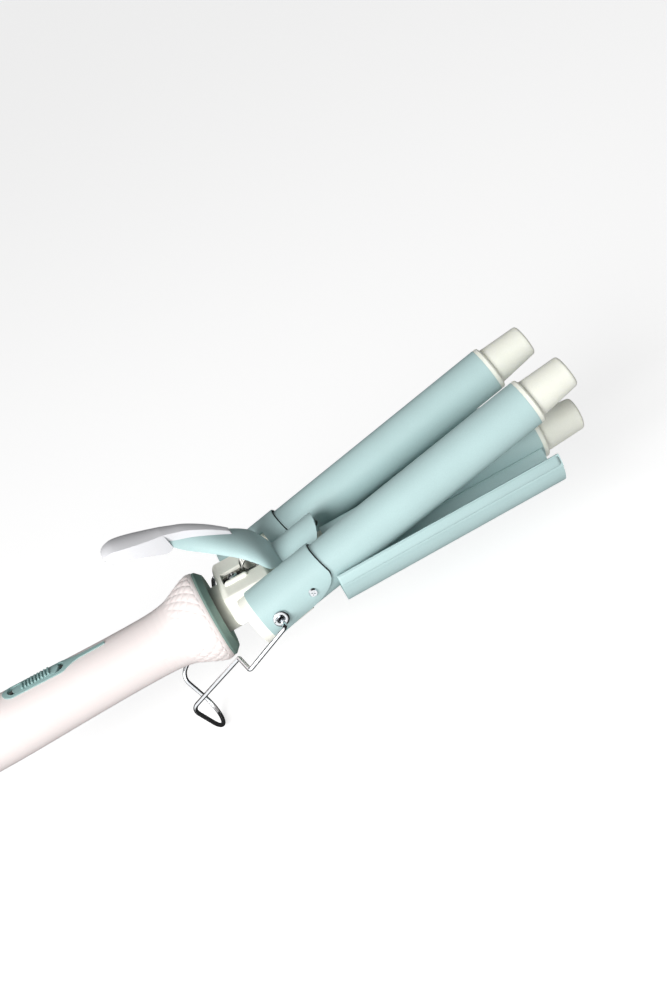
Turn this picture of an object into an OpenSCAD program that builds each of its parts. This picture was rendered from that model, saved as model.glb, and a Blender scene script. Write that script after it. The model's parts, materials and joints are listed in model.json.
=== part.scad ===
// Three-barrel hair waver: a sprung upper jaw of two heated barrels closes on a
// lower barrel with two hair troughs. Lengths in mm, +X from handle to tips, +Z up,
// +Y to the far side. The origin is the bottom centre of the bounding box.

/* [Barrels] */
// Outer diameter of each barrel tube
barrel_d = 25; // [24:0.1:25]
// Wall of a barrel tube
barrel_wall = 1; // [0.8:0.1:1.2]
// Distance from the middle plane to an upper barrel's axis
barrel_pitch = 27; // [27:0.1:27.4]
// Where every barrel ends, forward of the hinge axis
barrel_end = 158; // [150:1:170]
// Length of a heat-proof tip beyond its barrel
tip_len = 26; // [22:1:28]
// Radius of a tip where it leaves its collar
tip_base_r = 10.3; // [10:0.1:11]
// Radius of a tip at its free end
tip_end_r = 8.8; // [8:0.1:9.5]

/* [Jaw] */
// Angle between the jaws as they stand
open_angle = 11.2; // [0:0.1:14]
// Outer radius of the sheet shroud round each barrel root
shroud_r = 14.2; // [14.1:0.1:14.4]
// Sheet thickness of the shrouds
shroud_t = 0.9; // [0.7:0.1:0.9]
// Sheet thickness of the lever
lever_t = 1.2; // [0.8:0.1:1.3]
// Front edge of the near shroud
near_front = 32.3; // [30:0.1:32.6]
// Front edge of the far shroud
far_front = 25.4; // [24:0.1:32.6]
// Rear edge of the near shroud
near_rear = -8.2; // [-9:0.1:-6]
// Rear edge of the far shroud
far_rear = -13; // [-13:0.1:-6]

/* [Troughs] */
// Inner radius of a hair trough
trough_r = 14.3; // [14.1:0.1:14.5]
// Sheet thickness of a trough
trough_t = 1.1; // [0.9:0.1:1.2]
// Where a trough starts
trough_rear = 33.2; // [33:0.1:36]
// Where a trough ends
trough_front = 156.5; // [150:0.5:156.5]

/* [Handle] */
// Rear end of the handle shells
butt_x = -186; // [-190:1:-184]
// Wall of the handle shells
shell_wall = 2.4; // [2:0.1:2.6]
// Travel of the slide switch each way
switch_travel = 2.5; // [1:0.5:3]
// Number of ribs on the slide switch
switch_ribs = 9; // [5:1:9]

/* [Stand] */
// Diameter of the stand's spring wire
wire_d = 2.3; // [2:0.1:2.3]
// Distance from the middle plane to a stand leg
leg_y = 50.4; // [48:0.1:52]

/* [Hidden] */

$fn = 96;
pivot = [3, 0, 62.18];
axis_z = -2.5;
barrel_r = barrel_d / 2;
wire_r = wire_d / 2;
pin_r = 2.2;
pin_fit = 0.05;
pin_hole_r = pin_r + pin_fit;
neck_y = 20;
neck_top = 12.5;
core_r = 12.3;

// colours
sage = [0.66, 0.76, 0.75];
sage_dark = [0.46, 0.55, 0.52];
cream = [0.92, 0.92, 0.86];
ivory = [0.97, 0.97, 0.93];
white = [0.97, 0.96, 0.95];
steel = [0.75, 0.76, 0.77];
dark_steel = [0.3, 0.31, 0.31];

// ---- frames: the fixed parts, and the upper jaw drawn closed and then opened ----

module fixed() {
    translate(pivot) children();
}

module jaw() {
    translate(pivot) rotate([0, -open_angle, 0]) children();
}

module far_side() {
    mirror([0, 1, 0]) children();
}

// ---- helpers ----

// Cylinder along X from x0 to x1
module rod_x(x0, x1, r, y = 0, z = 0) {
    translate([x0, y, z]) rotate([0, 90, 0]) cylinder(r = r, h = x1 - x0);
}

// Tube along X
module tube_x(x0, x1, ro, ri, y = 0, z = 0) {
    difference() {
        rod_x(x0, x1, ro, y, z);
        rod_x(x0 - 1, x1 + 1, ri, y, z);
    }
}

// Part of a flat ring between two angles
module ring_sector(ro, ri, a0, a1) {
    far = 3 * ro;
    step = (a1 - a0) / 4;
    intersection() {
        difference() {
            circle(r = ro);
            circle(r = ri);
        }
        polygon(concat([[0, 0]], [for (i = [0 : 4]) far * [cos(a0 + i * step), sin(a0 + i * step)]]));
    }
}

// Turns a profile drawn in Y and Z into a bar from x0 to x1
module bar_x(x0, x1) {
    translate([x0, 0, 0]) rotate([90, 0, 90]) linear_extrude(x1 - x0) children();
}

// Solid of revolution about an X axis from [x, radius] points
module lathe_x(points, y = 0, z = 0, angle = 360, start = 0) {
    translate([0, y, z]) rotate([0, 90, 0]) rotate([0, 0, start])
        rotate_extrude(angle = angle)
            polygon([for (p = points) [p[1], p[0]]]);
}

// Cylinder along Y from y0 to y1
module rod_y(y0, y1, r, x = 0, z = 0) {
    translate([x, y0, z]) rotate([-90, 0, 0]) cylinder(r = r, h = y1 - y0);
}

// Flat stadium in plan, long axis along X
module stadium(x0, x1, w) {
    translate([x0 + w / 2, -w / 2]) square([x1 - x0 - w, w]);
    translate([x0 + w / 2, 0]) circle(d = w);
    translate([x1 - w / 2, 0]) circle(d = w);
}

// Rectangle with round corners
module round_rect(x0, x1, y0, y1, r) {
    translate([x0 + r, y0]) square([x1 - x0 - 2 * r, y1 - y0]);
    translate([x0, y0 + r]) square([x1 - x0, y1 - y0 - 2 * r]);
    for (x = [x0 + r, x1 - r], y = [y0 + r, y1 - r])
        translate([x, y]) circle(r = r);
}

// Catmull-Rom curve through points, n steps a span
function curve_point(a, b, c, d, t) =
    0.5 * (2 * b + (c - a) * t + (2 * a - 5 * b + 4 * c - d) * t * t
           + (3 * b - a - 3 * c + d) * t * t * t);
function curve(p, n) =
    [for (i = [0 : len(p) - 2], k = [0 : n - 1])
        curve_point(p[max(i - 1, 0)], p[i], p[i + 1], p[min(i + 2, len(p) - 1)], k / n),
     p[len(p) - 1]];

// Closed skin over a row of rings that all have the same number of points
module skin(rings) {
    n = len(rings[0]);
    m = len(rings);
    sides = [for (j = [0 : m - 2], i = [0 : n - 1])
        let (a = j * n + i, b = j * n + (i + 1) % n)
        each [[a, b, b + n], [a, b + n, a + n]]];
    first = [for (i = [n - 1 : -1 : 0]) i];
    last = [for (i = [0 : n - 1]) (m - 1) * n + i];
    polyhedron(points = [for (r = rings) each r], faces = concat([first], sides, [last]),
               convexity = 6);
}

// ---- wire bending: straight runs joined by true bends ----

function unit(v) = v / norm(v);
function axes_to_angles(ex, ey, ez) =
    [atan2(ey[2], ez[2]), -asin(max(-1, min(1, ex[2]))), atan2(ex[1], ex[0])];

// Bend at corner p from direction u to direction v
module bend(p, u, v, rb, r) {
    turn = acos(u * v);
    w = unit(v - (u * v) * u);
    translate(p - u * rb * tan(turn / 2) + w * rb)
        rotate(axes_to_angles(-w, u, cross(-w, u)))
            rotate_extrude(angle = turn)
                translate([rb, 0]) circle(r = r + 0.03, $fn = 24);
}

module straight(a, b, r) {
    d = b - a;
    translate(a) rotate([0, acos(d[2] / norm(d)), atan2(d[1], d[0])])
        cylinder(r = r, h = norm(d), $fn = 24);
}

// Wire along corners pts with bend radii rb, one for each inner corner
module wire(pts, rb, r) {
    n = len(pts);
    dirs = [for (i = [0 : n - 2]) unit(pts[i + 1] - pts[i])];
    cut = [for (i = [0 : n - 1]) (i == 0 || i == n - 1) ? 0
           : rb[i - 1] * tan(acos(dirs[i - 1] * dirs[i]) / 2)];
    for (i = [0 : n - 2])
        straight(pts[i] + dirs[i] * (cut[i] - (i == 0 ? 0 : 0.12)),
                 pts[i + 1] - dirs[i] * (cut[i + 1] - (i == n - 2 ? 0 : 0.12)), r);
    for (i = [1 : n - 2])
        bend(pts[i], dirs[i - 1], dirs[i], rb[i - 1], r);
}

// ---- handle ----

handle_points = [[butt_x, 12], [butt_x + 1.6, 14.8], [-180, 16.9], [-168, 17.6],
                 [-150, 17.6], [-130, 17.1], [-110, 16.5], [-85, 16], [-62, 16.1],
                 [-51, 17.4], [-44, 19.9], [-38, 22.6], [-34, 23.8], [-31.8, 24],
                 [-30.5, 23.5]];
handle_curve = curve(handle_points, 3);
shell_inner_x = butt_x + 3;
gland_r = 6;

// Outer form of the handle, grown by d
module handle_form(d) {
    lathe_x(concat([[butt_x - d, 0]], [for (p = handle_curve) [p[0], p[1] + d]], [[-30.5, 0]]),
            z = axis_z);
}

module shell_half(start) {
    inner = [for (i = [len(handle_curve) - 1 : -1 : 0])
        if (handle_curve[i][0] > shell_inner_x + 1) [handle_curve[i][0], handle_curve[i][1] - shell_wall]];
    lathe_x(concat([[butt_x, gland_r]], handle_curve, inner,
                   [[shell_inner_x, 12], [shell_inner_x, gland_r]]),
            z = axis_z, angle = 180, start = start);
}

panel_tail = -84.7;
oval_front = -105;
oval_rear = -142;
oval_w = 10.6;
slot_w = 7.6;
knob_len = 26;
knob_x = (oval_front + oval_rear) / 2;

// Plan of the panel: an oval that runs out into a narrow tail
module panel_plan() {
    stadium(oval_rear, oval_front, oval_w);
    polygon([[oval_front - 6, 5.1], [oval_front - 2, 4.1], [oval_front + 2, 2.3],
             [oval_front + 6, 1.5], [panel_tail, 1.1], [panel_tail, -1.1],
             [oval_front + 6, -1.5], [oval_front + 2, -2.3], [oval_front - 2, -4.1],
             [oval_front - 6, -5.1]]);
}

module slot_plan(grow = 0) {
    half = knob_len / 2 + switch_travel + 0.3 + grow;
    stadium(knob_x - half, knob_x + half, slot_w + 2 * grow);
}

module handle_shell_upper() {
    color(white) fixed() difference() {
        shell_half(90);
        intersection() {
            difference() {
                handle_form(3);
                handle_form(-1.2);
            }
            linear_extrude(30) panel_plan();
        }
        linear_extrude(30) slot_plan(0.4);
    }
}

screw_xs = [-66, -166];
boss_top = -4.5;

module handle_shell_lower() {
    color(white) fixed() difference() {
        union() {
            shell_half(270);
            intersection() {
                handle_form(-1);
                for (x = screw_xs)
                    translate([x, 0, -24]) cylinder(r = 4.2, h = 24 + boss_top);
            }
        }
        for (x = screw_xs) {
            translate([x, 0, -24]) cylinder(r = 2.9, h = 9);
            translate([x, 0, -24]) cylinder(r = 1.45, h = 30);
        }
    }
}

module handle_screws() {
    color(steel) fixed() for (x = screw_xs) {
        translate([x, 0, -15]) mirror([0, 0, 1]) difference() {
            cylinder(r = 2.7, h = 1.8);
            translate([-0.5, -2, 0.9]) cube([1, 4, 2]);
            translate([-2, -0.5, 0.9]) cube([4, 1, 2]);
        }
        translate([x, 0, -15]) cylinder(r = 1.4, h = 10);
    }
}

module flare_ring() {
    color(sage_dark) fixed()
        lathe_x([[-34.5, 18.2], [-34.5, 21], [-30.5, 21], [-30.5, 23.5], [-29.3, 23.4],
                 [-26.3, 20.4], [-26.3, 19.2], [-27.6, 17.4], [-28.4, core_r + 0.05],
                 [-31.5, core_r + 0.05], [-31.5, 18.2]], z = axis_z);
}

module control_panel() {
    color(sage) fixed() difference() {
        intersection() {
            difference() {
                handle_form(0.45);
                handle_form(-1.2);
            }
            linear_extrude(30) panel_plan();
        }
        linear_extrude(30) slot_plan();
    }
}

knob_r = 17.2;

// Ribbed slider that follows the handle's top
module slide_knob() {
    half = knob_len / 2;
    pitch = 1.85;
    color(sage) fixed() {
        intersection() {
            tube_x(-150, -100, knob_r, 12.2, z = axis_z);
            linear_extrude(30) stadium(knob_x - half, knob_x + half, slot_w - 0.6);
        }
        intersection() {
            tube_x(-150, -100, knob_r + 1.1, knob_r - 1, z = axis_z);
            linear_extrude(30) for (i = [0 : switch_ribs - 1])
                translate([knob_x + (i - (switch_ribs - 1) / 2) * pitch - 0.4, -2.9]) square([0.8, 5.8]);
        }
    }
}

board_z = -2;

module switch_body() {
    color(dark_steel) fixed() difference() {
        translate([knob_x - 12, -3.6, board_z + 1.6]) cube([24, 7.2, 5]);
        translate([knob_x - 8, -1.2, board_z + 4]) cube([16, 2.4, 5]);
    }
}

module circuit_board() {
    color([0.2, 0.4, 0.25]) fixed() {
        translate([-160, -9, board_z]) cube([84, 18, 1.6]);
        for (x = [-90, -98]) translate([x, 4, board_z + 1.6]) cylinder(r = 2.5, h = 7);
        translate([-104, -8, board_z + 1.6]) cube([10, 5, 4]);
    }
}

gland_bore_r = 3.3;
gland_rear = -190;

module cord_gland() {
    color(white) fixed()
        lathe_x([[gland_rear, gland_bore_r], [gland_rear, 6.6], [gland_rear + 1, 7.6],
                 [butt_x, 8], [butt_x, gland_r - 0.05], [shell_inner_x, gland_r - 0.05],
                 [shell_inner_x, 8], [shell_inner_x + 2.5, 8],
                 [shell_inner_x + 2.5, gland_bore_r]], z = axis_z);
}

// ---- neck ----

neck_rear = -21.5;
neck_front = 6.5;
neck_low = -6;
recess_y = 5.6;
bracket_top = 11;
screw_x = -12.4;
recess_floor = 7;
spigot_rear = 38;
spigot_end = 56;
wire_bore_r = 5.6;
ear_end = 36.3;

// Body of revolution about the hinge axis on the near side, grown by d
module ear(d = 0) {
    rotate([90, 0, 0]) rotate_extrude()
        polygon([[0, 12], [11 + d, 12], [11 + d, 29], [8 + d, ear_end + d], [0, ear_end + d]]);
}

module neck_block() {
    color(cream) fixed() difference() {
        union() {
            // squared body between the barrel roots
            intersection() {
                translate([0, neck_y, 0]) rotate([90, 0, 0])
                    linear_extrude(2 * neck_y) round_rect(neck_rear, neck_front, neck_low, neck_top, 4);
                bar_x(neck_rear - 1, neck_rear + 39) round_rect(-neck_y, neck_y, neck_low, neck_top, 2);
                translate([0, 0, neck_low - 1]) linear_extrude(30)
                    round_rect(neck_rear, neck_front + 12, -neck_y, neck_y, 5);
            }
            // round core that the handle, ring and lower barrel share
            lathe_x([[-50, 0], [-50, core_r], [-34, core_r], [-34, 15.6], [-31.5, 15.6],
                     [-31.5, core_r], [spigot_rear, core_r], [spigot_rear, barrel_r - barrel_wall - 0.1],
                     [spigot_end, barrel_r - barrel_wall - 0.1], [spigot_end, 0]], z = axis_z);
            // ears that carry the hinge
            ear();
            far_side() ear();
            // rounded rib beside the recess
            rod_x(-15.8, -6.2, 1.7, -7.6, neck_top);
            for (x = [-15.8, -6.2]) translate([x, -7.6, neck_top]) sphere(r = 1.7, $fn = 48);
        }
        // spring recess, the coil's pocket and the slot for the front leg
        translate([-18, -recess_y, recess_floor]) cube([20, 2 * recess_y, 10]);
        translate([-8, -recess_y, 5.6]) cube([15, 2 * recess_y, 12]);
        translate([-2, -4.8, 4.6]) cube([spigot_rear, 9.6, 12]);
        // bridge under the lever's tab
        translate([16, -14, 4.5]) cube([spigot_rear - 16, 28, 12]);
        rod_x(-51, spigot_end + 1, wire_bore_r, 0, axis_z);
        rod_y(-40, -26, pin_hole_r);
        rod_y(26, 40, pin_hole_r);
        translate([screw_x, 0, 3.6]) cylinder(r = 1.25, h = 6);
    }
}

// Bridge over the spring's rear leg, folded down at both ends
module spring_bracket() {
    color(dark_steel) fixed() difference() {
        union() {
            translate([-17.6, -4.8, bracket_top - 1.2]) cube([10, 9.6, 1.2]);
            translate([-17.6, -4.8, recess_floor]) cube([1.4, 9.6, bracket_top - recess_floor]);
            for (y = [-4.8, 0.4])
                translate([-9.2, y, recess_floor]) cube([1.2, 2.2, bracket_top - recess_floor - 0.2]);
        }
        translate([screw_x, 0, 0]) cylinder(r = 1.3, h = 20);
    }
}

module bracket_screw() {
    color(steel) fixed() {
        translate([screw_x, 0, bracket_top]) difference() {
            union() {
                cylinder(r = 2.7, h = 0.7);
                translate([0, 0, 0.7]) cylinder(r1 = 2.7, r2 = 1.7, h = 0.7);
            }
            for (a = [0, 90]) rotate([0, 0, a]) translate([-1.4, -0.3, 0.8]) cube([2.8, 0.6, 2]);
        }
        translate([screw_x, 0, 4]) cylinder(r = 1.2, h = bracket_top - 3.9);
    }
}

// Torsion spring: a wound coil with one leg under the bracket and one under the tab
coil_r = 5.4;
coil_x = -0.6;
coil_z = 12.9;
coil_wire = 0.65;
coil_turns = 4;
coil_pitch = 2.1;
coil_steps = 96;
leg_eye = [36.6, 0, 15.4];

function ring_at(p, u, v, r, n) =
    [for (k = [0 : n - 1]) p + r * (cos(360 * k / n) * u + sin(360 * k / n) * v)];
// Centre of the wire a degrees after the coil's lowest point
function coil_point(a) =
    [coil_x - coil_r * sin(a), coil_pitch * (a / 360 - coil_turns / 2), coil_z - coil_r * cos(a)];
function coil_out(a) = [-sin(a), 0, -cos(a)];

module torsion_spring() {
    sides = 10;
    last_a = 360 * coil_turns;
    front_p = coil_point(0);
    rear_p = coil_point(last_a);
    color(dark_steel) fixed() {
        skin([for (k = [0 : coil_steps]) let (a = last_a * k / coil_steps)
            ring_at(coil_point(a), coil_out(a), [0, 1, 0], coil_wire, sides)]);
        straight(front_p - [0.3, 0, 0], leg_eye + [0, 0, -1.6], coil_wire);
        straight(rear_p + [0.3, 0, 0], rear_p + [-12.5, -0.4, 1], coil_wire);
        translate(leg_eye) rotate([90, 0, 0]) rotate_extrude()
            translate([1.6, 0]) circle(r = coil_wire, $fn = 16);
    }
}

// Tubular rivet: the jaw turns on its shank and the stand's wire turns in its bore
eyelet_bore_r = wire_r + 0.07;
eyelet_seat = 41.35;
lip_r = 4.25;
lip_h = 1.1;

module hinge_eyelet_near() {
    mid = (lip_r + eyelet_bore_r) / 2;
    color(steel) fixed() difference() {
        union() {
            rod_y(-eyelet_seat - 0.1, -27, pin_r);
            rotate([90, 0, 0]) rotate_extrude() translate([0, eyelet_seat])
                polygon(concat([[0.5, 0], [0.5, 0.3]],
                               [for (a = [180 : -15 : 0]) [mid + (lip_r - mid) * cos(a), 0.3 + lip_h * sin(a)]],
                               [[lip_r, 0]]));
        }
        rod_y(-eyelet_seat - 3, -26, eyelet_bore_r);
    }
}

module hinge_eyelet_far() {
    far_side() hinge_eyelet_near();
}

// ---- barrels, tips and heaters ----

module barrel_tube(x0, y, z) {
    tube_x(x0, barrel_end, barrel_r, barrel_r - barrel_wall, y, z);
}

// Collar, taper and a softly rounded end, with a plug inside the barrel
module barrel_tip(y, z) {
    plug_r = barrel_r - barrel_wall - 0.1;
    x = barrel_end;
    e = barrel_end + tip_len;
    fillet = 1.6;
    lathe_x(concat([[x - 9, 0], [x - 9, plug_r], [x, plug_r], [x, barrel_r - 0.1],
                    [x + 1.9, barrel_r - 0.1], [x + 2.5, barrel_r - 0.5], [x + 3, tip_base_r + 0.4],
                    [x + 3.4, tip_base_r]],
                   [for (a = [0 : 15 : 90]) [e - 0.5 - fillet + fillet * sin(a), tip_end_r - fillet + fillet * cos(a)]],
                   [[e - 0.15, tip_end_r * 0.5], [e, 0]]), y, z);
}

// Flat heating element between two half-round spreaders
module heater(x0, y, z) {
    r = barrel_r - barrel_wall - 0.15;
    translate([0, y, z]) {
        difference() {
            rod_x(x0, barrel_end - 12, r);
            translate([x0 - 1, -r - 1, -1.3]) cube([200, 2 * r + 2, 2.6]);
            for (a = [0, 180]) rotate([a, 0, 0])
                translate([x0 - 1, -3, 6]) cube([200, 6, 10]);
        }
        translate([x0 + 3, -6, -1.3]) cube([barrel_end - 18 - x0, 12, 2.6]);
    }
}

root_x = 14.2;
plug_end = 32;

module barrel_near() {
    color(sage) jaw() difference() {
        barrel_tube(root_x, -barrel_pitch, 0);
        rod_y(-60, -30, 1.6, 20);
    }
}

module barrel_far() {
    color(sage) jaw() difference() {
        barrel_tube(root_x, barrel_pitch, 0);
        rod_y(30, 60, 1.6, 20);
    }
}

module tip_near() {
    color(ivory) jaw() barrel_tip(-barrel_pitch, 0);
}

module tip_far() {
    color(ivory) jaw() barrel_tip(barrel_pitch, 0);
}

module heater_near() {
    color(steel) jaw() heater(plug_end + 2, -barrel_pitch, 0);
}

module heater_far() {
    color(steel) jaw() heater(plug_end + 2, barrel_pitch, 0);
}

rivet_xs = [62, 100, 138];
rivet_angle = 236;

module rivet_hole(x, a, r) {
    translate([x, 0, axis_z]) rotate([a - 90, 0, 0]) translate([0, 0, 8]) cylinder(r = r, h = 12);
}

module lower_barrel() {
    color(sage) fixed() difference() {
        barrel_tube(spigot_rear, 0, axis_z);
        for (x = rivet_xs, a = [rivet_angle, 540 - rivet_angle]) rivet_hole(x, a, 1.3);
    }
}

module lower_tip() {
    color(ivory) fixed() barrel_tip(0, axis_z);
}

module lower_heater() {
    color(steel) fixed() heater(spigot_end + 2, 0, axis_z);
}

// ---- hair troughs ----

flange_r = barrel_r + 0.02;
lip_angle = 160;

// Trough, folded hem on the lip, and the flange that hugs the lower barrel
module trough_profile(flange) {
    translate([-barrel_pitch, 0]) {
        difference() {
            ring_sector(trough_r + trough_t, trough_r, lip_angle, 343);
            translate([barrel_pitch, axis_z]) circle(r = flange_r + 0.5);
        }
        ring_sector(trough_r + 2 * trough_t - 0.1, trough_r + 0.5, lip_angle - 1, 184);
    }
    if (flange)
        translate([0, axis_z]) ring_sector(flange_r + trough_t, flange_r, 184, 262);
}

module trough_near() {
    color(sage) fixed() difference() {
        union() {
            bar_x(trough_rear, spigot_rear + 0.5) trough_profile(false);
            bar_x(spigot_rear + 0.5, trough_front) trough_profile(true);
        }
        for (x = rivet_xs) rivet_hole(x, rivet_angle, 1.3);
    }
}

module trough_far() {
    far_side() trough_near();
}

module trough_rivets() {
    seat = flange_r + trough_t;
    shank = barrel_r - barrel_wall;
    color(steel) fixed() for (x = rivet_xs, a = [rivet_angle, 540 - rivet_angle])
        translate([x, 0, axis_z]) rotate([a - 90, 0, 0]) {
            translate([0, 0, seat]) cylinder(r1 = 2.3, r2 = 1.5, h = 0.9);
            translate([0, 0, shank]) cylinder(r = 1.2, h = seat - shank + 0.1);
        }
}

// ---- upper jaw roots ----

insert_r = 13.2;
insert_rear = -13.3;

module insert_near() {
    color(cream) jaw() difference() {
        union() {
            rod_x(insert_rear, root_x, insert_r, -barrel_pitch);
            rod_x(root_x, plug_end, barrel_r - barrel_wall - 0.1, -barrel_pitch);
        }
        // room for the neck between the two roots
        translate([insert_rear - 1, -neck_y - 0.35, -20]) cube([root_x - insert_rear + 1, 30, 40]);
        ear(0.4);
        rod_y(-45, -30, pin_hole_r);
        rod_y(-45, -30, 1.25, 20);
    }
}

module insert_far() {
    far_side() insert_near();
}

// Side outline of a shroud: square behind, raked in front, with a long rounded lower corner
module shroud_side(x0, x1) {
    corner = [x1 - 22.3, 3.5];
    polygon(concat([[x0, -9.6], [corner[0] - 2, -8.2]],
                   [for (a = [-90 : 9 : 0]) [corner[0] + 22.3 * cos(a), corner[1] + 11.6 * sin(a)]],
                   [[x1 - 1.8, 15], [x1 - 1.8, 20], [x0, 20]]));
}

module shroud(x0, x1) {
    difference() {
        intersection() {
            bar_x(x0, x1) translate([-barrel_pitch, 0])
                ring_sector(shroud_r, shroud_r - shroud_t, 17, 226);
            translate([0, -5, 0]) rotate([90, 0, 0]) linear_extrude(45) shroud_side(x0, x1);
        }
        translate([x0 - 1, -neck_y - 0.35, -20]) cube([root_x - x0 + 1, 30, 50]);
        rod_y(-45, -35, pin_r + 0.15);
        rod_y(-45, -35, 1.5, 20);
    }
}

module shroud_near() {
    color(sage) jaw() shroud(near_rear, near_front);
}

module shroud_far() {
    color(sage) jaw() far_side() shroud(far_rear, far_front);
}

module shroud_screws() {
    color(steel) jaw() for (side = [0, 1]) mirror([0, side, 0]) {
        translate([20, -barrel_pitch - shroud_r, 0]) rotate([90, 0, 0]) difference() {
            cylinder(r1 = 2.4, r2 = 1.8, h = 1);
            for (a = [45, 135]) rotate([0, 0, a]) translate([-1.2, -0.25, 0.5]) cube([2.4, 0.5, 1]);
        }
        rod_y(-barrel_pitch - shroud_r, -33, 1.2, 20);
    }
}

// ---- lever: one pressed sheet, a saddle between the shrouds that turns up into a hood ----

// Stations along the crown: [crown x, crown z, edge x, edge z, half width, half angle]
saddle_r = 15;
saddle_a = 63.3;
nose_x = 40.7;
nose_start = 31;
nose_stations = [for (a = [8, 16, 26, 36, 47, 58, 69, 80, 90]) let (t = saddle_a * sin(a))
    [nose_start + (nose_x - nose_start) * cos(a), 12.5, nose_start + (nose_x - nose_start) * cos(a),
     axis_z + saddle_r * cos(t), saddle_r * sin(t), t]];
arm_stations = [[15.5, 12.5, 15.5, 4.2, 13.4, saddle_a],
                [14.6, 16, 14.4, 6.3, 14.6, 66],
                [13.3, 20.6, 12.2, 10.6, 17.2, 70],
                [11.4, 25, 9.3, 13.6, 19.8, 74],
                [8, 29.8, 5.6, 19.8, 17.2, 76],
                [3.6, 34.5, 1.4, 25.1, 14.1, 78],
                [-3, 41.2, -5, 31.6, 10.7, 79],
                [-10.4, 47.7, -12, 38.4, 7.6, 80],
                [-16, 51.4, -17.2, 43.9, 6.1, 80],
                [-20.6, 53.8, -20.6, 48.7, 5.2, 80]];
arm_curve = curve(arm_stations, 3);
lever_stations = concat(nose_stations, arm_curve);
lever_steps = 20;

function arch_point(s, t, inset) =
    let (drop = [s[0] - s[2], s[1] - s[3]] / (1 - cos(s[5])),
         depth = norm(drop),
         half = s[4] / sin(s[5]),
         centre = [s[0], s[1]] - drop,
         k = (depth - inset) / depth)
    [centre[0] + drop[0] * k * cos(t), (half - inset) * sin(t), centre[1] + drop[1] * k * cos(t)];
function arch_ring(s) = concat(
    [for (i = [0 : lever_steps]) arch_point(s, s[5] * (1 - 2 * i / lever_steps), 0)],
    [for (i = [lever_steps : -1 : 0]) arch_point(s, s[5] * (1 - 2 * i / lever_steps), lever_t)]);

module lever() {
    color(sage) jaw() skin([for (s = lever_stations) arch_ring(s)]);
}

// Thumb pad: a crowned cap that rides on the lever's crown and hangs down behind it
pad_steps = 14;
// Over the lever: [x, top, half width, angle on the lever's arch where the skirt ends]
pad_front = [[-20.6, 58.9, 5.4, 42], [-16, 56, 4.9, 37], [-10.4, 52.3, 4.3, 30],
             [-3, 45.4, 3.5, 20], [2.6, 38.9, 2.6, 12], [4.8, 36, 2.2, 9]];
// Behind the lever: [x, top, half width, underside]
pad_rear = [[-50, 68.6, 4.6, 64.6], [-49, 69.4, 6, 63.5], [-47, 69.9, 6.8, 62.9],
            [-44, 69.8, 7.4, 62], [-40, 68.4, 8, 59.6], [-34, 65.6, 7.8, 55.6],
            [-28, 62.6, 7, 51.2], [-24, 60.6, 6.2, 48.4], [-20.7, 59, 5.4, 48.9]];

function lever_at(x) =
    let (i = [for (k = [0 : len(arm_curve) - 2]) if (arm_curve[k + 1][0] < x + 0.001) k][0],
         a = arm_curve[i],
         b = arm_curve[i + 1])
    a + (b - a) * (a[0] - x) / (a[0] - b[0]);
// Crowned top of a pad section, from -Y to +Y
function pad_top(x, top, half) =
    let (crown = 0.5 + 0.15 * half)
    [for (i = [0 : pad_steps]) let (u = 2 * i / pad_steps - 1)
        [x, half * u, top - crown * u * u]];
function block_ring(p) = concat(pad_top(p[0], p[1], p[2]),
    [for (i = [0 : pad_steps]) let (u = 1 - 2 * i / pad_steps)
        [p[0], p[2] * u, p[3] - 0.4 * (1 - u * u)]]);
function over_ring(p) = concat(pad_top(p[0], p[1], p[2]),
    [for (i = [0 : pad_steps]) let (u = 1 - 2 * i / pad_steps)
        arch_point(lever_at(p[0]), p[3] * u, -0.07)]);

module thumb_pad() {
    color(white) jaw()
        skin(concat([for (p = curve(pad_rear, 3)) block_ring(p)],
                    [for (p = curve(pad_front, 5)) over_ring(p)]));
}

// ---- stand ----

// Corners of one leg: the hinge end, the crook where it steps inward, the foot and the bow
stand_inner_y = 30;
crook = [-30.5, leg_y, -14];
knee = [-25, 33.2, -11.4];
foot = [-63.3, 16.7, -36];
bow = [-54.9, 10.8, -61];
tight_bend = 1.8;
foot_bend = 7.2;
bow_bend = 13.2;

module wire_stand() {
    half = [[0, stand_inner_y, 0], [0, leg_y, 0], crook, knee, foot, bow];
    other = [for (i = [len(half) - 1 : -1 : 0]) [half[i][0], -half[i][1], half[i][2]]];
    half_bends = [tight_bend, tight_bend, tight_bend, foot_bend, bow_bend];
    other_bends = [for (i = [len(half_bends) - 1 : -1 : 0]) half_bends[i]];
    color(steel) fixed() wire(concat(half, other), concat(half_bends, other_bends), wire_r);
}

handle_shell_upper();
handle_shell_lower();
flare_ring();
control_panel();
slide_knob();
switch_body();
circuit_board();
cord_gland();
handle_screws();
neck_block();
spring_bracket();
bracket_screw();
torsion_spring();
hinge_eyelet_near();
hinge_eyelet_far();
lower_barrel();
lower_tip();
lower_heater();
trough_near();
trough_far();
trough_rivets();
barrel_near();
barrel_far();
tip_near();
tip_far();
heater_near();
heater_far();
insert_near();
insert_far();
shroud_near();
shroud_far();
shroud_screws();
lever();
thumb_pad();
wire_stand();
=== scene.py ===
"""Looks of a three-barrel hair waver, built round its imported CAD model."""

import json
import math

import bpy
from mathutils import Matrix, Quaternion, Vector


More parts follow.
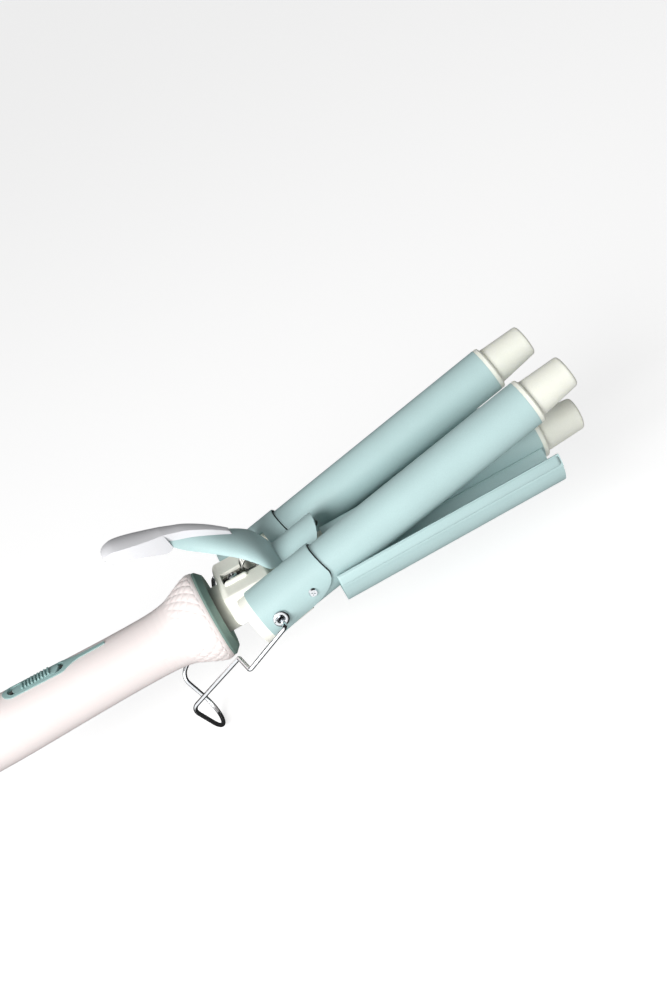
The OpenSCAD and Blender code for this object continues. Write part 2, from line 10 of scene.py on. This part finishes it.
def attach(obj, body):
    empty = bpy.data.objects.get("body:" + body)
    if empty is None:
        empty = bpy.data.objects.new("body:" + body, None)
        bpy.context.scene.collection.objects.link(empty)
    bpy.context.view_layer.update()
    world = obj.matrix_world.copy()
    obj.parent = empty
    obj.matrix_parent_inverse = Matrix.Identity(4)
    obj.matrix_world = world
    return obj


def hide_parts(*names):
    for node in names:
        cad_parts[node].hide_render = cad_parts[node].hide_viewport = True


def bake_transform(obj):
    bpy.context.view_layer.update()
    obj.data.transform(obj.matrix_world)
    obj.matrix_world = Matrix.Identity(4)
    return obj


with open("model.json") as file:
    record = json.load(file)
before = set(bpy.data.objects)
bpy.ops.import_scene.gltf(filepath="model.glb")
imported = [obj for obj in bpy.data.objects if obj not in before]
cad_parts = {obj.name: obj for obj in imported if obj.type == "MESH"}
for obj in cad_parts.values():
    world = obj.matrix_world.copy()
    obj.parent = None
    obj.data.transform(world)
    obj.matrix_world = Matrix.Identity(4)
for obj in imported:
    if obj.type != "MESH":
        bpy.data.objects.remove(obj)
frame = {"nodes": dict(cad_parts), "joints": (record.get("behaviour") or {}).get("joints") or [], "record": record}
bpy.context.view_layer.update()

MM = 0.001
NODES = frame["nodes"]
JOINTS = {joint["name"]: joint for joint in frame["joints"]}
# the jaw's hinge axis: pieces are placed in millimetres from it, x forward, y to the far side, z up
PIVOT = Vector(JOINTS["jaw_hinge"]["pos_m"])
# how far the jaw stands open at rest, which is as far as it can turn to shut
JAW_OPEN = -math.radians(JOINTS["jaw_hinge"]["range_deg"][0])


def at(x, y, z):
    """A point given in millimetres from the hinge axis, in the frame's metres."""
    return PIVOT + Vector((x, y, z)) * MM


def jaw_at(x, y, z):
    """The same for a point of the upper jaw, given as it lies when the jaw is shut."""
    along, up = math.cos(JAW_OPEN), math.sin(JAW_OPEN)
    return at(x * along - z * up, y, x * up + z * along)


def new_piece(name, shape, materials, slot, body):
    """A smooth-shaded mesh in a slot's finish. It rides on a body, unless body is None."""
    verts, faces = shape
    mesh = bpy.data.meshes.new(name)
    mesh.from_pydata(verts, [], faces)
    mesh.polygons.foreach_set("use_smooth", [True] * len(mesh.polygons))
    mesh.materials.append(materials[slot])
    piece = bpy.data.objects.new(name, mesh)
    bpy.context.scene.collection.objects.link(piece)
    if body:
        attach(piece, body)
    return piece


def loft(rings):
    """Vertices and faces of a closed skin through rings of equal length, capped at both ends."""
    size = len(rings[0])
    verts = [point for ring in rings for point in ring]
    last = len(verts) - size
    faces = []
    for start in range(0, last, size):
        for k in range(size):
            after = (k + 1) % size
            faces.append((start + k, start + after, start + size + after, start + size + k))
    faces.append(tuple(range(size - 1, -1, -1)))
    faces.append(tuple(range(last, len(verts))))
    return verts, faces


# ---- camera, at the photograph's viewing angle ----

# place in metres, turn in degrees, lens and film in millimetres, nearest distance in metres

CAMERA_PLACE = (0.024410, -0.619075, 0.402249)
CAMERA_TURN = (59.85643, 24.40950, -16.23732)
CAMERA_LENS = 49.64
CAMERA_FILM = 36
CAMERA_NEAREST = 0.01


def make_camera():
    scene = bpy.context.scene
    data = bpy.data.cameras.new("camera")
    data.lens = CAMERA_LENS
    data.sensor_width = CAMERA_FILM
    data.clip_start = CAMERA_NEAREST
    camera = bpy.data.objects.new("camera", data)
    camera.location = CAMERA_PLACE
    camera.rotation_euler = [math.radians(turn) for turn in CAMERA_TURN]
    scene.collection.objects.link(camera)
    scene.camera = camera
    scene.view_settings.view_transform = "Standard"


# ---- stage: pale floor and soft light, in metres ----

WHITE = (1, 1, 1, 1)
FLOOR_REACH = 12
FLOOR_COLOUR = (0.5, 0.5, 0.5, 1)
FLOOR_ROUGHNESS = 0.9
FLOOR_SPECULAR = 0.1
FLOOR_GLOW = 0.68

KEY_AIM = PIVOT + Vector((0.05, 0, 0))
KEY_FROM = Vector((-0.62, -0.7, 0.36))
KEY_DISTANCE = 1.6
KEY_SIZE = 1.1
KEY_POWER = 31

# the sky's brightness changes over this height on either side of the horizon
HORIZON = 0.5
SKY_ABOVE = 0.3
SKY_BELOW = 0.75
# what polished metal mirrors: a bright window in front of the object and a dark room behind it
MIRROR_WINDOW = Vector((-0.6, -0.75, 0.2))
MIRROR_DARK_AT, MIRROR_BRIGHT_AT = 0.25, 0.6
MIRROR_DARK, MIRROR_BRIGHT = 0.03, 1.4


def remap(tree, value, source, target, smooth=False):
    """A value brought from the source range to the target range, and held within it."""
    ramp = tree.nodes.new("ShaderNodeMapRange")
    if smooth:
        ramp.interpolation_type = "SMOOTHSTEP"
    ramp.inputs["From Min"].default_value, ramp.inputs["From Max"].default_value = source
    ramp.inputs["To Min"].default_value, ramp.inputs["To Max"].default_value = target
    tree.links.new(value, ramp.inputs["Value"])
    return ramp.outputs["Result"]


def make_floor():
    """A pale floor that glows a little and casts no light on the object."""
    reach = FLOOR_REACH
    mesh = bpy.data.meshes.new("floor")
    mesh.from_pydata([(-reach, -reach, 0), (reach, -reach, 0), (reach, reach, 0), (-reach, reach, 0)],
                     [], [(0, 1, 2, 3)])
    floor = bpy.data.objects.new("floor", mesh)
    bpy.context.scene.collection.objects.link(floor)
    material = bpy.data.materials.new("floor")
    material.use_nodes = True
    shader = material.node_tree.nodes["Principled BSDF"]
    shader.inputs["Base Color"].default_value = FLOOR_COLOUR
    shader.inputs["Roughness"].default_value = FLOOR_ROUGHNESS
    shader.inputs["Specular IOR Level"].default_value = FLOOR_SPECULAR
    shader.inputs["Emission Color"].default_value = WHITE
    shader.inputs["Emission Strength"].default_value = FLOOR_GLOW
    mesh.materials.append(material)
    floor.visible_diffuse = False
    floor.visible_glossy = False


def make_sky():
    """Soft light from all round. A mirrored ray meets the window and the dark room instead."""
    world = bpy.data.worlds.new("studio")
    world.use_nodes = True
    tree = world.node_tree
    nodes, links = tree.nodes, tree.links
    coords = nodes.new("ShaderNodeTexCoord")
    split = nodes.new("ShaderNodeSeparateXYZ")
    links.new(coords.outputs["Generated"], split.inputs["Vector"])
    room = nodes["Background"]
    height = remap(tree, split.outputs["Z"], (-HORIZON, HORIZON), (SKY_BELOW, SKY_ABOVE), smooth=True)
    links.new(height, room.inputs["Strength"])

    facing = nodes.new("ShaderNodeVectorMath")
    facing.operation = "DOT_PRODUCT"
    links.new(coords.outputs["Generated"], facing.inputs[0])
    facing.inputs[1].default_value = MIRROR_WINDOW.normalized()
    mirrored = nodes.new("ShaderNodeBackground")
    window = remap(tree, facing.outputs["Value"], (MIRROR_DARK_AT, MIRROR_BRIGHT_AT),
                   (MIRROR_DARK, MIRROR_BRIGHT), smooth=True)
    links.new(window, mirrored.inputs["Strength"])

    for background in (room, mirrored):
        background.inputs["Color"].default_value = WHITE
    path = nodes.new("ShaderNodeLightPath")
    mix = nodes.new("ShaderNodeMixShader")
    links.new(path.outputs["Is Glossy Ray"], mix.inputs["Fac"])
    links.new(room.outputs["Background"], mix.inputs[1])
    links.new(mirrored.outputs["Background"], mix.inputs[2])
    links.new(mix.outputs["Shader"], nodes["World Output"].inputs["Surface"])
    bpy.context.scene.world = world


def make_key():
    """One large soft lamp, in front of the object, to its left and above it."""
    light = bpy.data.lights.new("key", "AREA")
    light.shape = "DISK"
    light.size = KEY_SIZE
    light.energy = KEY_POWER
    lamp = bpy.data.objects.new("key", light)
    lamp.location = KEY_AIM + KEY_FROM.normalized() * KEY_DISTANCE
    lamp.rotation_euler = (KEY_AIM - lamp.location).to_track_quat("-Z", "Y").to_euler()
    bpy.context.scene.collection.objects.link(lamp)


# ---- how a surface is built ----

# nearly all of a noise texture's values lie between these two
NOISE_RANGE = (0.3, 0.7)


def linear(rgb):
    """sRGB out of 255 as a linear colour."""
    return tuple(c / 255 / 12.92 if c <= 10 else ((c / 255 + 0.055) / 1.055) ** 2.4 for c in rgb)


class Surface:
    """A Principled surface with cloudy colour, uneven gloss and a fine grain, sized in millimetres."""

    def __init__(self, name, colour, roughness, metallic=0.0, specular=0.5):
        self.material = bpy.data.materials.new(name)
        self.material.use_nodes = True
        self.tree = self.material.node_tree
        self.shader = self.tree.nodes["Principled BSDF"]
        self.set("Metallic", metallic)
        self.set("Specular IOR Level", specular)
        self.colour = linear(colour)
        self.roughness = roughness
        self.coords = self.tree.nodes.new("ShaderNodeTexCoord")
        self.normal = None

    def set(self, name, value):
        """A value that is the same all over, on the shader's own socket."""
        self.shader.inputs[name].default_value = value

    def noise(self, size, detail=2.0, stretch=(1, 1, 1)):
        """Noise whose features are about size across."""
        place = self.tree.nodes.new("ShaderNodeMapping")
        place.inputs["Scale"].default_value = stretch
        texture = self.tree.nodes.new("ShaderNodeTexNoise")
        texture.inputs["Scale"].default_value = 1 / (size * MM)
        texture.inputs["Detail"].default_value = detail
        self.tree.links.new(self.coords.outputs["Object"], place.inputs["Vector"])
        self.tree.links.new(place.outputs["Vector"], texture.inputs["Vector"])
        return texture.outputs["Fac"]

    def scaled(self, factor):
        """A node that gives the shader its base colour, which it multiplies by the factor."""
        scale = self.tree.nodes.new("ShaderNodeVectorMath")
        scale.operation = "SCALE"
        self.tree.links.new(factor, scale.inputs["Scale"])
        self.tree.links.new(scale.outputs["Vector"], self.shader.inputs["Base Color"])
        return scale

    def vary_colour(self, size, amount, speck_size=0, speck=0):
        """Base colour that drifts by amount over patches of size, with finer specks on top."""
        factor = remap(self.tree, self.noise(size), NOISE_RANGE, (1 - amount, 1 + amount))
        if speck_size:
            add = self.tree.nodes.new("ShaderNodeMath")
            add.operation = "ADD"
            specks = remap(self.tree, self.noise(speck_size, detail=0), NOISE_RANGE, (-speck, speck))
            self.tree.links.new(factor, add.inputs[0])
            self.tree.links.new(specks, add.inputs[1])
            factor = add.outputs["Value"]
        self.scaled(factor).inputs[0].default_value = self.colour

    def shade_near(self, x, reach, shade):
        """Painted shade: multiplies the base colour by shade at x, rising to full colour at x + reach."""
        varied = self.shader.inputs["Base Color"].links[0].from_socket
        split = self.tree.nodes.new("ShaderNodeSeparateXYZ")
        self.tree.links.new(self.coords.outputs["Object"], split.inputs["Vector"])
        places = (at(x, 0, 0).x, at(x + reach, 0, 0).x)
        factor = remap(self.tree, split.outputs["X"], places, (shade, 1.0), smooth=True)
        self.tree.links.new(varied, self.scaled(factor).inputs[0])

    def vary_gloss(self, size, amount, stretch=(1, 1, 1)):
        """Roughness that drifts by amount over patches of size."""
        value = remap(self.tree, self.noise(size, detail=3, stretch=stretch), NOISE_RANGE,
                      (self.roughness - amount, self.roughness + amount))
        self.tree.links.new(value, self.shader.inputs["Roughness"])

    def grain(self, size, depth, stretch=(1, 1, 1)):
        """Adds relief to what is there already."""
        bump = self.tree.nodes.new("ShaderNodeBump")
        bump.inputs["Distance"].default_value = depth * MM
        bump.inputs["Strength"].default_value = 1.0
        self.tree.links.new(self.noise(size, stretch=stretch), bump.inputs["Height"])
        if self.normal:
            self.tree.links.new(self.normal, bump.inputs["Normal"])
        self.normal = bump.outputs["Normal"]
        self.tree.links.new(self.normal, self.shader.inputs["Normal"])


# ---- materials: each has the name of its slot in the record ----

def barrel_paint():
    paint = Surface("satin_paint", (177, 203, 203), roughness=0.42, specular=0.35)
    paint.vary_colour(size=22, amount=0.02, speck_size=0.3, speck=0.03)
    paint.vary_gloss(size=6, amount=0.05)
    paint.grain(size=0.25, depth=0.004)
    paint.grain(size=2.5, depth=0.01)
    paint.set("Coat Weight", 0.12)
    paint.set("Coat Roughness", 0.3)
    return paint.material


def ring_plastic():
    plastic = Surface("ring_plastic", (114, 139, 131), roughness=0.45)
    plastic.vary_colour(size=12, amount=0.03, speck_size=0.4, speck=0.02)
    plastic.vary_gloss(size=4, amount=0.06)
    plastic.grain(size=0.3, depth=0.006)
    return plastic.material


def panel_plastic():
    plastic = Surface("panel_plastic", (150, 182, 180), roughness=0.38)
    plastic.vary_colour(size=8, amount=0.03, speck_size=0.4, speck=0.02)
    plastic.vary_gloss(size=3, amount=0.06)
    plastic.grain(size=0.3, depth=0.005)
    return plastic.material


def handle_plastic():
    plastic = Surface("handle_plastic", (231, 222, 220), roughness=0.34, specular=0.35)
    plastic.vary_colour(size=30, amount=0.012, speck_size=0.5, speck=0.006)
    plastic.vary_gloss(size=9, amount=0.05)
    plastic.grain(size=1.6, depth=0.006)
    plastic.grain(size=0.3, depth=0.002)
    plastic.set("Subsurface Weight", 0.08)
    plastic.set("Subsurface Radius", (0.004, 0.003, 0.003))
    return plastic.material


def tip_plastic():
    plastic = Surface("tip_plastic", (238, 239, 228), roughness=0.5)
    plastic.vary_colour(size=14, amount=0.02, speck_size=0.4, speck=0.02)
    plastic.vary_gloss(size=4, amount=0.06)
    plastic.grain(size=0.3, depth=0.012)
    plastic.set("Subsurface Weight", 0.1)
    plastic.set("Subsurface Radius", (0.003, 0.003, 0.002))
    return plastic.material


def neck_plastic():
    """Painted shade: the base colour darkens towards the rear end, where the neck lies in the ring's shade."""
    plastic = Surface("neck_plastic", (251, 250, 239), roughness=0.48)
    plastic.vary_colour(size=10, amount=0.025, speck_size=0.4, speck=0.02)
    plastic.vary_gloss(size=4, amount=0.06)
    plastic.grain(size=0.35, depth=0.012)
    # painted shade, darkest by the ring and gone 6.5 mm ahead of it
    plastic.shade_near(x=-27.5, reach=6.5, shade=0.2)
    return plastic.material


def pad_plastic():
    plastic = Surface("pad_plastic", (221, 221, 224), roughness=0.36, specular=0.35)
    plastic.vary_colour(size=15, amount=0.015, speck_size=0.5, speck=0.008)
    plastic.vary_gloss(size=6, amount=0.05)
    plastic.grain(size=1.2, depth=0.005)
    return plastic.material


def chrome():
    metal = Surface("bright_wire", (214, 217, 220), roughness=0.12, metallic=1.0)
    metal.vary_colour(size=5, amount=0.04)
    metal.vary_gloss(size=2, amount=0.05)
    metal.grain(size=0.5, depth=0.002)
    return metal.material


def spring_steel():
    metal = Surface("spring_steel", (132, 132, 128), roughness=0.2, metallic=1.0)
    metal.vary_colour(size=3, amount=0.15, speck_size=0.3, speck=0.06)
    metal.vary_gloss(size=1.5, amount=0.08)
    metal.grain(size=0.4, depth=0.006)
    return metal.material


def steel():
    metal = Surface("screw_steel", (214, 215, 216), roughness=0.24, metallic=1.0)
    metal.vary_colour(size=2, amount=0.06, speck_size=0.2, speck=0.04)
    metal.vary_gloss(size=1, amount=0.1)
    metal.grain(size=0.3, depth=0.006)
    return metal.material


def aluminium():
    """Gloss and grain are drawn out along the barrels."""
    metal = Surface("alloy", (190, 191, 193), roughness=0.42, metallic=1.0)
    metal.vary_colour(size=6, amount=0.06)
    metal.vary_gloss(size=3, amount=0.1, stretch=(0.1, 1, 1))
    metal.grain(size=0.3, depth=0.01, stretch=(0.08, 1, 1))
    return metal.material


def black_plastic():
    plastic = Surface("black_plastic", (38, 38, 40), roughness=0.55)
    plastic.vary_colour(size=4, amount=0.1)
    plastic.vary_gloss(size=2, amount=0.08)
    plastic.grain(size=0.3, depth=0.015)
    return plastic.material


def board():
    laminate = Surface("board", (40, 96, 62), roughness=0.45)
    laminate.vary_colour(size=5, amount=0.15)
    laminate.vary_gloss(size=3, amount=0.1)
    laminate.grain(size=0.6, depth=0.02)
    return laminate.material


SLOTS = [barrel_paint, ring_plastic, panel_plastic, handle_plastic, tip_plastic, neck_plastic,
         pad_plastic, chrome, spring_steel, steel, aluminium, black_plastic, board]


# ---- CAD nodes: their finish and softened edges ----

# the width of each node's bevel, in millimetres
SOFT_EDGES = {"neck_block": 0.35, "insert_near": 0.3, "insert_far": 0.3, "shroud_near": 0.2,
              "shroud_far": 0.2, "trough_near": 0.28, "trough_far": 0.28, "flare_ring": 0.2,
              "slide_knob": 0.15, "spring_bracket": 0.2, "lever": 0.3, "thumb_pad": 0.35}
# points this close are joined, and edges that turn by more than this are bevelled
WELD_WITHIN = 0.002
BEVEL_ABOVE = math.radians(38)
BEVEL_STEPS = 3


def dress(materials):
    """Every CAD node takes the material of its slot in the record."""
    slots = {part["node"]: part["material_slot"] for part in frame["record"]["subparts"]}
    for name, node in NODES.items():
        node.data.materials.clear()
        node.data.materials.append(materials[slots[name]])


def soften(name, width):
    """Small round on a node's edges, by modifiers, so that they catch the light."""
    node = NODES[name]
    normals = node.data.attributes.get("custom_normal")
    if normals:
        node.data.attributes.remove(normals)
    for face in node.data.polygons:
        face.use_smooth = True
    weld = node.modifiers.new("weld", "WELD")
    weld.merge_threshold = WELD_WITHIN * MM
    bevel = node.modifiers.new("bevel", "BEVEL")
    bevel.width = width * MM
    bevel.segments = BEVEL_STEPS
    bevel.limit_method = "ANGLE"
    bevel.angle_limit = BEVEL_ABOVE
    node.modifiers.new("shade", "WEIGHTED_NORMAL").keep_sharp = True


# ---- quilted relief on the flare of the handle ----

# the handle's radius at places along it, and the height of its middle line
FLARE = [(-62, 16.1), (-51, 17.4), (-44, 19.9), (-38, 22.6), (-34, 23.8), (-31.8, 24)]
HANDLE_Z = -2.5
# the relief grows to its full height, and fades again just short of the bell's mouth
QUILT_START, QUILT_FULL, QUILT_END = -55.0, -41, -31.6
QUILT_FADE = 1.6
# pillows round the handle, the length, height and fullness of each, and the points round one
QUILT_ROUND = 24
QUILT_LENGTH = 5.8
QUILT_RISE = 0.5
QUILT_FULLNESS = 0.65
QUILT_POINTS = 16
# where there is no relief, the skin lies this far inside the handle
QUILT_SUNK = 0.14
QUILT_ROWS = 96
QUILT_COLUMNS = QUILT_ROUND * QUILT_POINTS


def flare_radius(x):
    """The handle's radius at x, on a smooth curve through FLARE."""
    last = len(FLARE) - 1
    i = max(k for k in range(last) if FLARE[k][0] <= x)
    (x0, r0), (x1, r1) = FLARE[i], FLARE[i + 1]
    share = (x - x0) / (x1 - x0)

    def slope(k):
        a, b = FLARE[max(k - 1, 0)], FLARE[min(k + 1, last)]
        return (b[1] - a[1]) / (b[0] - a[0]) * (x1 - x0)

    s2, s3 = share ** 2, share ** 3
    return ((2 * s3 - 3 * s2 + 1) * r0 + (s3 - 2 * s2 + share) * slope(i)
            + (3 * s2 - 2 * s3) * r1 + (s3 - s2) * slope(i + 1))


def smooth_step(value, low, high):
    """Rises smoothly from 0 at low to 1 at high."""
    share = min(1.0, max(0.0, (value - low) / (high - low)))
    return share * share * (3 - 2 * share)


def quilt_point(x, turn):
    """A point of the skin, at x along the handle and a share of a turn round it."""
    fade = smooth_step(x, QUILT_START, QUILT_FULL) * smooth_step(-x, -QUILT_END, -QUILT_END + QUILT_FADE)
    across = QUILT_ROUND * turn
    along = (x - QUILT_START) / QUILT_LENGTH
    seams = math.sin(math.pi * (across + along)) * math.sin(math.pi * (across - along))
    pillow = abs(seams) ** QUILT_FULLNESS
    radius = flare_radius(x) - QUILT_SUNK + (QUILT_SUNK + QUILT_RISE * pillow) * fade
    angle = 2 * math.pi * turn
    return at(x, radius * math.cos(angle), HANDLE_Z + radius * math.sin(angle))


def make_quilt(materials):
    """A skin of low diamond pillows that fades out along the handle."""
    verts = []
    for row in range(QUILT_ROWS + 1):
        x = QUILT_START + (QUILT_END - QUILT_START) * row / QUILT_ROWS
        verts += [quilt_point(x, column / QUILT_COLUMNS) for column in range(QUILT_COLUMNS)]
    faces = []
    for start in range(0, QUILT_ROWS * QUILT_COLUMNS, QUILT_COLUMNS):
        ahead = start + QUILT_COLUMNS
        for k in range(QUILT_COLUMNS):
            after = (k + 1) % QUILT_COLUMNS
            faces.append((start + k, ahead + k, ahead + after, start + after))
    new_piece("handle_quilt", (verts, faces), materials, "handle_plastic", "handle")


# ---- round wire ----

BEND_STEPS = 10


def with_bends(corners, bends):
    """The path through the corners with a round bend at each of them."""
    path = [corners[0]]
    for before, corner, after, bend in zip(corners, corners[1:], corners[2:], bends):
        back, on = (before - corner).normalized(), (after - corner).normalized()
        half = back.angle(on) / 2
        centre = corner + (back + on).normalized() * bend / math.sin(half)
        first = corner + back * bend / math.tan(half) - centre
        last = corner + on * bend / math.tan(half) - centre
        axis, turn = first.cross(last).normalized(), first.angle(last)
        for k in range(BEND_STEPS + 1):
            path.append(centre + Quaternion(axis, turn * k / BEND_STEPS) @ first)
    return path + [corners[-1]]


def tube(path, radius, sides):
    """Closed round wire along a path, with rings that don't twist."""
    rings = []
    out = Vector((0, 0, 1))
    for k, point in enumerate(path):
        run = (path[min(k + 1, len(path) - 1)] - path[max(k - 1, 0)]).normalized()
        out = (out - run * out.dot(run)).normalized()
        side = run.cross(out)
        rings.append([point + (out * math.cos(a) + side * math.sin(a)) * radius
                      for a in (2 * math.pi * i / sides for i in range(sides))])
    return loft(rings)


# ---- wire stand: the CAD's wire with the step in its legs where the photograph has it ----

STAND_RADIUS = 1.15
STAND_SIDES = 20
# the near leg from the eyelet to the bow, and the bend at each corner after the first
STAND_CORNERS = [(0, -30, 0), (0, -50.4, 0), (-25, -50.4, -11.4), (-28, -33.2, -12.8),
                 (-63.3, -16.7, -36), (-54.9, -10.8, -61)]
STAND_BENDS = [1.8, 1.8, 1.8, 7.2, 13.2]


def make_stand(materials):
    """One wire from eyelet to eyelet, the far leg mirroring the near one."""
    near = [at(x, y, z) for x, y, z in STAND_CORNERS]
    far = [at(x, -y, z) for x, y, z in reversed(STAND_CORNERS)]
    path = with_bends(near + far, [bend * MM for bend in STAND_BENDS + STAND_BENDS[::-1]])
    wire = tube(path, STAND_RADIUS * MM, STAND_SIDES)
    piece = new_piece("stand_wire", wire, materials, "chrome", "stand")
    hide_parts("wire_stand")


# ---- torsion spring: the CAD's wire, with an eye at its front leg's end by the lever's tab ----

SPRING_RADIUS = 0.65
SPRING_SIDES = 12
SPRING_STEPS = 24
COIL_RADIUS, COIL_TURNS, COIL_PITCH = 5.4, 4, 2.1
COIL_X, COIL_Z = -0.6, 12.9
REAR_LEG = (-12.5, -0.4, 1)
# the eye at the front leg's end, and the share of its turn that is left open
EYE_X, EYE_Z, EYE_RADIUS = 36.6, 15.4, 1.6
EYE_OPEN = 0.2


def make_spring(materials):
    """One wound wire from the eye at the tab, along the front leg and round the coil to the rear leg."""
    steps = SPRING_STEPS

    def ring(x, y, z, radius, turn):
        angle = 2 * math.pi * turn
        return at(x - radius * math.sin(angle), y, z - radius * math.cos(angle))

    eye = [ring(EYE_X, 0, EYE_Z, EYE_RADIUS, EYE_OPEN + (1 - EYE_OPEN) * k / steps)
           for k in range(steps + 1)]
    coil = [ring(COIL_X, COIL_PITCH * (k / steps - COIL_TURNS / 2), COIL_Z, COIL_RADIUS, k / steps)
            for k in range(steps * COIL_TURNS + 1)]
    leg = [eye[-1].lerp(coil[0], k / steps) for k in range(1, steps)]
    rear = [coil[-1] + Vector(REAR_LEG) * MM * k / steps for k in range(1, steps + 1)]
    wire = tube(eye + leg + coil + rear, SPRING_RADIUS * MM, SPRING_SIDES)
    piece = new_piece("spring_wire", wire, materials, "spring_steel", None)
    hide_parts("torsion_spring")
    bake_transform(piece)


# ---- trim on the two sides: a bead on each trough's folded hem, and a dark strip of painted shadow under each shroud's front edge ----

# the side's sign, and how far forward its shroud reaches
SIDES = {"near": (-1, 32.3), "far": (1, 25.4)}
# how far an upper barrel, and the trough under it, lie from the middle plane
PITCH = 27.0

HEM_FROM, HEM_TO = math.radians(158.4), math.radians(181.5)
HEM_STEPS = 18
HEM_ROOT, HEM_RISE = 15.6, 1.35
HEM_FLATNESS = 5
# where the bead's sections stand, and the size of each
HEM_START, HEM_END = 33.5, 155.8
HEM_SECTIONS = [(HEM_START, 0.985), (HEM_START + 0.7, 1.0), (HEM_END - 1.6, 1.0), (HEM_END, 0.975)]

# the shroud's front edge leans back above the knee, and sweeps back in a quarter oval below it
EDGE_KNEE = 3.5
EDGE_LEAN = 1.8 / 11.5
EDGE_SWEEP, EDGE_DROP = 22.3, 11.6
SHROUD_RADIUS = 14

# painted shadow: a dark strip in the gap between each shroud's front edge and its barrel, where shade falls
SHADOW_STRIP_FROM, SHADOW_STRIP_TO = math.radians(222), math.radians(25)
SHADOW_STRIP_STEPS = 60
# the painted shadow strip's section: radius, and place ahead of the shroud's edge
SHADOW_STRIP_TOP, SHADOW_STRIP_FOOT = 13.5, 12.53
SHADOW_STRIP_SECTION = [(SHADOW_STRIP_TOP, -0.8), (SHADOW_STRIP_FOOT, -0.8), (SHADOW_STRIP_FOOT, 0.55), (SHADOW_STRIP_TOP, 0.2)]


def make_hem(name, side, materials):
    """A flat-topped bead over the hem, so that its lower edge turns away in a clear line."""
    outline = []
    for k in range(HEM_STEPS + 1):
        across = 2 * k / HEM_STEPS - 1
        radius = HEM_ROOT + HEM_RISE * (1 - abs(across) ** HEM_FLATNESS)
        angle = HEM_FROM + (HEM_TO - HEM_FROM) * k / HEM_STEPS
        outline.append((radius * math.cos(angle), radius * math.sin(angle)))
    rings = [[at(x, side * (PITCH - y * size), z * size) for y, z in outline] for x, size in HEM_SECTIONS]
    new_piece("trough_hem_" + name, loft(rings), materials, "barrel_paint", "handle")


def shroud_edge(z, front):
    """How far forward the shroud reaches at height z."""
    if z >= EDGE_KNEE:
        return front - EDGE_LEAN * (z - EDGE_KNEE)
    drop = max(-1.0, (z - EDGE_KNEE) / EDGE_DROP)
    return front - EDGE_SWEEP + EDGE_SWEEP * math.sqrt(1 - drop * drop)


def make_shadow_strip(name, side, front, materials):
    """Painted shadow: a dark strip under the shroud's front edge, over the top of its barrel's root, where the gap
    lies in shade.
    """
    rings = []
    for k in range(SHADOW_STRIP_STEPS + 1):
        angle = SHADOW_STRIP_FROM + (SHADOW_STRIP_TO - SHADOW_STRIP_FROM) * k / SHADOW_STRIP_STEPS
        y, z = math.cos(angle), math.sin(angle)
        edge = shroud_edge(SHROUD_RADIUS * z, front)
        rings.append([jaw_at(edge + ahead, side * (PITCH - radius * y), radius * z)
                      for radius, ahead in SHADOW_STRIP_SECTION])
    new_piece("root_painted_shadow_" + name, loft(rings), materials, "black_plastic", "upper_jaw")


make_camera()
make_floor()
make_sky()
make_key()
materials = {make.__name__: make() for make in SLOTS}
dress(materials)
for name, width in SOFT_EDGES.items():
    soften(name, width)
make_quilt(materials)
make_stand(materials)
make_spring(materials)
for name, (side, front) in SIDES.items():
    make_hem(name, side, materials)
    # painted shadow under each shroud's front edge
    make_shadow_strip(name, side, front, materials)

bpy.context.view_layer.update()
